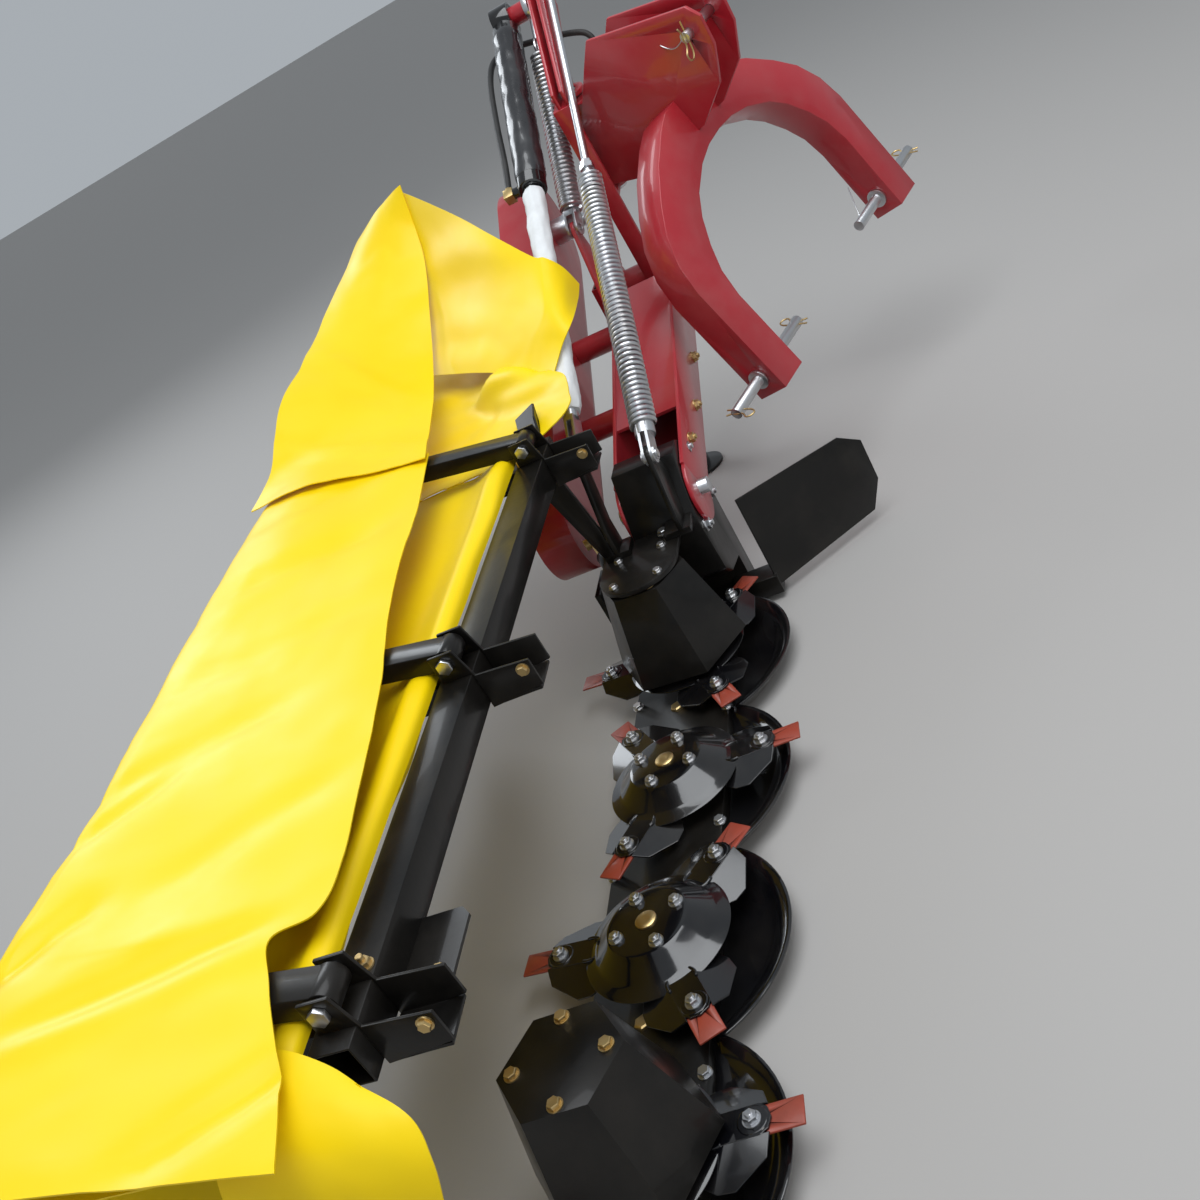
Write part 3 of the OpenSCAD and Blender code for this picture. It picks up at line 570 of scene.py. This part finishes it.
def wrap(name, paint, body, start, end, r, least, rough):
    """Packing that is wound on the cylinder, uneven by rough and never thinner than least."""
    m = along(*CYLINDER)[0]
    bm = bmesh.new()
    count, sides = 46, 40
    rings = []
    for i in range(count + 1):
        t = i / count
        close = 0.86 if i in (0, count) else 1
        line = []
        for k in range(sides):
            a = FULL_TURN * k / sides
            q = around(1.7, a, t * 14)
            bulge = rough * (noise.noise(q) + 0.6 * abs(noise.noise(q * 2.3)))
            line.append(bm.verts.new(m @ around(max(r * close + bulge, least), a, start + (end - start) * t)))
        rings.append(line)
    skin(bm, rings)
    return piece(name, bm, body, paint, crease=50)


def wraps():
    """Shop packing that is still on the new lift cylinder: black film on the barrel and white foam on the rod."""
    m, length = along(*CYLINDER)
    foam_end = length - 118
    wrap("barrel_film_wrap", FILM, "cylinder", 60, 566, 37.5, 35.4, 2.2)
    o = wrap("rod_foam_wrap", FOAM, "rod", 606, foam_end, 25, 25 * 0.82, 4.0)
    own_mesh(o)


HOSE = [(-841, -109, 856), (-921, -109, 905), (-1050, -116, 980), (-1180, -116, 1055), (-1270, -102, 1085),
        (-1335, -60, 1082), (-1362, 0, 1068), (-1366, 60, 1052), (-1357, 112, 1034), (-1352, 130, 1015),
        (-1352, 130, 1000), (-1352, 130, 985)]
HOSE_R = 8


def hose():
    path = curve_through(HOSE, 6)
    bm = bmesh.new()
    tube(bm, path, HOSE_R, 16)
    o = piece("lift_hose_line", bm, "cylinder", RUBBER, crease=60)
    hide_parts("lift_hose")


# small hardware

HAIRPIN = ((-34, 0), (-10, 0), (22, 0), (38, 3), (48, 12), (44, 24), (32, 27), (22, 18), (12, 14), (0, 17), (-12, 14),
           (-26, 20))


def hairpin(bm, at, axis, out):
    """A spring clip through a pin: a straight leg, a round head and a waved leg."""
    side = out.cross(axis).normalized()
    tube(bm, curve_through([at + (side * x + axis * y) for x, y in HAIRPIN], 4), 2.1)


def pin_clips():
    """Hairpins in the hitch pins, and the thin wires that tie them to the frame."""
    bm = bmesh.new()
    for s, e in ((-1, -1), (1, -1), (1, 1)):
        hairpin(bm, HEAD @ Vector((s * ARM_GAP / 2 + e * (PIN_L / 2 - 16), PIN_Y, 0)),
                (HEAD_TURN @ (e * ALONG_BAR)).normalized(), (HEAD_TURN @ UP).normalized())
    hairpin(bm, HEAD @ Vector((66, PIN_Y - 27, MAST_H)), (HEAD_TURN @ ALONG_BAR).normalized(),
            (HEAD_TURN @ FORWARD).normalized())
    piece("pin_clips", bm, "headstock", GOLD)
    bm = bmesh.new()
    inside, tied = ARM_GAP / 2 - PIN_L / 2 + 20, ARM_GAP / 2 - 60
    for a, b, sag in (((66, PIN_Y - 27, MAST_H + 10), (44, PIN_Y - 150, MAST_H + 30), 40),
                      ((-inside, PIN_Y, 20), (-tied, PIN_Y - 60, 52), 50),
                      ((inside, PIN_Y, 20), (tied, PIN_Y - 60, 52), 50)):
        a, b = HEAD @ Vector(a), HEAD @ Vector(b)
        path = [a.lerp(b, k / 8) - UP * sag * math.sin(math.pi * k / 8) for k in range(9)]
        tube(bm, curve_through(path, 3), 1.3, 6)
    piece("clip_ties", bm, "headstock", ZINC)


def spring_hooks():
    """The wire hook at the short spring's upper end, and the nuts on the long spring's rod."""
    m = along(*SHORT_SPRING)[0]
    bm = bmesh.new()
    eye = m @ moved(0, 0, 118) @ spin(90, "X")
    part, steps = 0.82, 32
    tube(bm, [eye @ around(21, FULL_TURN * part * k / steps) for k in range(steps + 1)], COIL_WIRE)
    tube(bm, curve_through([m @ Vector(v) for v in ((21, 0, 118), (22, 3, 130), (24, 6, 140), (25, 3, 148))], 4),
         COIL_WIRE)
    piece("short_spring_hook", bm, "frame", ZINC)
    m, length = along(*LONG_SPRING)
    bm = bmesh.new()
    collar(bm, 18, 14, m @ moved(0, 0, length - 800), 6)
    collar(bm, 14, 9, m @ moved(0, 0, length - 812), 6)
    piece("long_spring_nuts", bm, "spring_rod", ZINC)


SIDE_PLATE = ((0, 0), (130, 0), (130, 62), (118, 74), (16, 74), (0, 60))
GUSSET = (((-112, -128, 512), (-214, -150, 540), (-206, -94, 562), (-112, -84, 512)),
          ((-112, -84, 512), (-206, -94, 562), (-150, -86, 556), (-84, -84, 470)))


def guard_hardware():
    """Bolts on the guard tube and its brackets, the plate on the tube's side and the gusset at its inner end."""
    bm = bmesh.new()
    for x, y in ((1268, -84), (1278, -114), (-60, -92), (-40, -118)):
        bolt(bm, (x, y, TUBE_TOP), UP, across=17, high=10, washer=12, stud=8)
    for x in BRACKETS:
        for s in (1, -1):
            bolt(bm, (x + s * BRACKET_FACE, *EAR_BOLT), (s, 0, 0), across=15, high=8, washer=11)
    piece("guard_fasteners", bm, "cutter_bar", GOLD)
    bm = bmesh.new()
    plate(bm, SIDE_PLATE, moved(1150, -69, 455), 5)
    piece("guard_side_plate", bm, "cutter_bar", FRAME_BLACK)
    bm = bmesh.new()
    for quad in GUSSET:
        a, b, c, d = (Vector(v) for v in quad)
        away = (b - a).cross(c - a).normalized() * 2.5
        skin(bm, [[bm.verts.new(v + side * away) for v in (a, b, c, d)] for side in (-1, 1)])
    o = piece("guard_end_gusset", bm, "cutter_bar", FRAME_BLACK)
    soften(o, GUSSET_EDGE)


def beam_hardware():
    """Bolt heads along the beam's side plates."""
    bm = bmesh.new()
    for x, z in ((-507, 296), (-707, 333), (-860, 400), (-330, 300)):
        bolt(bm, (x, 135.5, z), FORWARD, across=20, high=11, washer=14, stud=5)
    piece("beam_fasteners", bm, "frame", GOLD)


def bar_hardware():
    """Bolts on the bar, the skids, the gear flange and the inner post, and the bar's oil plugs."""
    bm = bmesh.new()
    for x, y in ((97, -122), (594, -122), (893, -122), (196, 86), (529, 86), (1063, 86)):
        bolt(bm, (x, y, BAR_TOP), UP, across=17, high=10, washer=12)
    for x, y, z in ((-95, 52, 224), (-100, -70, 224)):
        bolt(bm, (x, y, z), UP, across=19, high=10)
    for angle in (45, 135, 225, 315):
        bolt(bm, on_disc(0, DRUM_BOLTS_R, angle, DRUM_TOP + 15), UP, across=15, high=8, washer=10)
    for x, z in ((-290, 300), (-290, 180), (-150, 180)):
        bolt(bm, (x, 126, z), FORWARD, across=22, high=12, washer=16, stud=6)
    piece("bar_bolts", bm, "cutter_bar", ZINC)
    bm = bmesh.new()
    for x in (142, 542, 942):
        turned(bm, [(0, 0), (15, 0), (15, 5), (12, 7), (0, 7)], moved(x, -27, BAR_TOP), 6)
    piece("oil_plugs", bm, "cutter_bar", GOLD)


# discs

DOME = [(0, DOME_TOP), (66, DOME_TOP), (73, 28.5), (79, 24), (106, 0), (113, -4), (126, -7.5), (132, -10), (130, -13),
        (0, -13)]
DISC_ARM = [(88, -25), (190, -25), (202, -17), (207, 0), (202, 17), (190, 25), (88, 25)]
DISC_WING = [(98, 0), (203, 0), (193, 32), (142, 64), (116, 62), (98, 50)]
SEAT = [(0, 0), (24, 0), (22, 2.5), (0, 2.5)]
BLADE_NUT = [(0, 0), (12, 0), (12, -3), (9, -6), (0, -6)]
CAP = [(0, 0), (19, 0), (19, 3), (17, 4.5), (6, 5), (0, 3.6)]


def disc_top(i):
    """A disc: a smooth dome, a flat arm to each blade bolt, and a bent-down wing on both sides of each arm."""
    number = i + 1
    place = moved(i * PITCH, 0, 0) @ spin(DISC_TURN[i], "Z")
    bm = bmesh.new()
    turned(bm, DOME, place, 96)
    for k in range(3):
        arm = place @ spin(120 * k, "Z")
        plate(bm, DISC_ARM, arm @ moved(0, 0, -8), 5)
        for s in (-1, 1):
            plate(bm, [(x, s * y) for x, y in DISC_WING], arm @ moved(0, s * 22, -7.6) @ spin(-s * 20, "X"), 4)
            bead = [math.radians(70 + 9 * n) for n in range(10)]
            tube(bm, [arm @ Vector((124 + 25 * math.cos(a), s * 25 * math.sin(a), -5.6)) for a in bead], 3.2)
        turned(bm, SEAT, arm @ moved(BLADE_BOLTS_R, 0, -6.5), 28)
    rod(bm, (i * PITCH, 0, HUB_FOOT), (i * PITCH, 0, DOME_TOP - 5), 46, 48)
    o = piece(f"disc_shell_{number}", bm, f"disc_unit_{number}", BLACK, crease=24)
    soften(o, EDGE)
    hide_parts(f"disc_{number}")


def disc_bolts(i):
    """The blade bolts, and on top a plain disc's cap and bolts or a drum's bolts."""
    number = i + 1
    body = f"disc_unit_{number}"
    bm = bmesh.new()
    for k in range(3):
        angle = DISC_TURN[i] + k * 120
        bolt(bm, on_disc(i, BLADE_BOLTS_R, angle, -4.2), UP, across=19, high=12, washer=14, stud=4)
        turned(bm, BLADE_NUT, Matrix.Translation(on_disc(i, BLADE_BOLTS_R, angle, -14)), 24)
    if i in PLAIN_DISCS:
        for k in range(4):
            bolt(bm, on_disc(i, HUB_BOLTS_R, HUB_TURN[i] + k * 90, DOME_TOP), UP, across=18, high=11, stud=3)
    piece(f"disc_bolts_{number}", bm, body, ZINC)
    bm = bmesh.new()
    if i in PLAIN_DISCS:
        turned(bm, CAP, moved(i * PITCH, 0, DOME_TOP - 0.2), 40)
    else:
        for k in range(4):
            bolt(bm, on_disc(i, DRUM_BOLTS_R, HUB_TURN[i] + k * 90, DRUM_TOP), UP, across=17, washer=12)
    piece(f"hub_cap_{number}", bm, body, GOLD)


for build in (dress_nodes, folding_cloth, raised_cloth, hanging_cloth, inner_cloth, rear_cloth, end_cloth, springs,
              wraps, hose, pin_clips, spring_hooks, guard_hardware, beam_hardware, bar_hardware):
    build()
for disc in range(4):
    disc_top(disc)
    disc_bolts(disc)


# the floor, the light and the photograph's camera, in metres

FLOOR_SIZE = 120
FLOOR_COLOUR = (0.4, 0.385, 0.37, 1)
LOOK_AT = Vector((0, 0, 0.4))
LIGHTS = (("sky light", (0.5, 1.0, 5.0), 4.0, 210, (0.94, 0.97, 1.0)),
          ("left light", (-3.5, -4.0, 3.6), 2.4, 90, (0.9, 0.95, 1.0)),
          ("right light", (3.6, 3.6, 2.6), 1.6, 45, (1.0, 0.97, 0.93)))
CAMERA = (2305.4, 847.1, 1411.3)
LENS = 39.95
SENSOR = 36
FAR_END = 60


def show(name, data):
    o = bpy.data.objects.new(name, data)
    bpy.context.scene.collection.objects.link(o)
    return o


def studio():
    bpy.ops.mesh.primitive_plane_add(size=FLOOR_SIZE, location=(0, 0, -0.001))
    floor = bpy.context.object
    floor.name = "floor"
    ground = bpy.data.materials.new("pale floor")
    ground.use_nodes = True
    bsdf = ground.node_tree.nodes["Principled BSDF"]
    bsdf.inputs["Base Color"].default_value = FLOOR_COLOUR
    bsdf.inputs["Roughness"].default_value = 0.7
    floor.data.materials.append(ground)
    for name, place, size, power, tint in LIGHTS:
        lamp = bpy.data.lights.new(name, "AREA")
        lamp.size = size
        lamp.energy = power
        lamp.color = tint
        o = show(name, lamp)
        o.location = place
        o.rotation_euler = (LOOK_AT - Vector(place)).to_track_quat("-Z", "Y").to_euler()
    world = bpy.data.worlds.new("studio")
    world.use_nodes = True
    sky = world.node_tree.nodes["Background"]
    sky.inputs["Color"].default_value = (0.78, 0.84, 0.9, 1)
    sky.inputs["Strength"].default_value = 0.5
    bpy.context.scene.world = world
    bpy.context.scene.view_settings.view_transform = "Standard"


def photo_camera():
    """The camera that was fitted to the photograph. It leans well to one side."""
    data = bpy.data.cameras.new("camera")
    data.lens = LENS
    data.sensor_width = SENSOR
    data.clip_end = FAR_END
    right = Vector((-0.1149, 0.877, -0.4665))
    down = Vector((0.5483, -0.3356, -0.7660))
    ahead = Vector((-0.8284, -0.3438, -0.4423))
    turn = Matrix((right, -down, -ahead)).transposed().to_4x4()
    o = show("camera", data)
    o.matrix_world = Matrix.Translation(TO_FRAME @ Vector(CAMERA)) @ turn
    bpy.context.scene.camera = o


studio()
photo_camera()
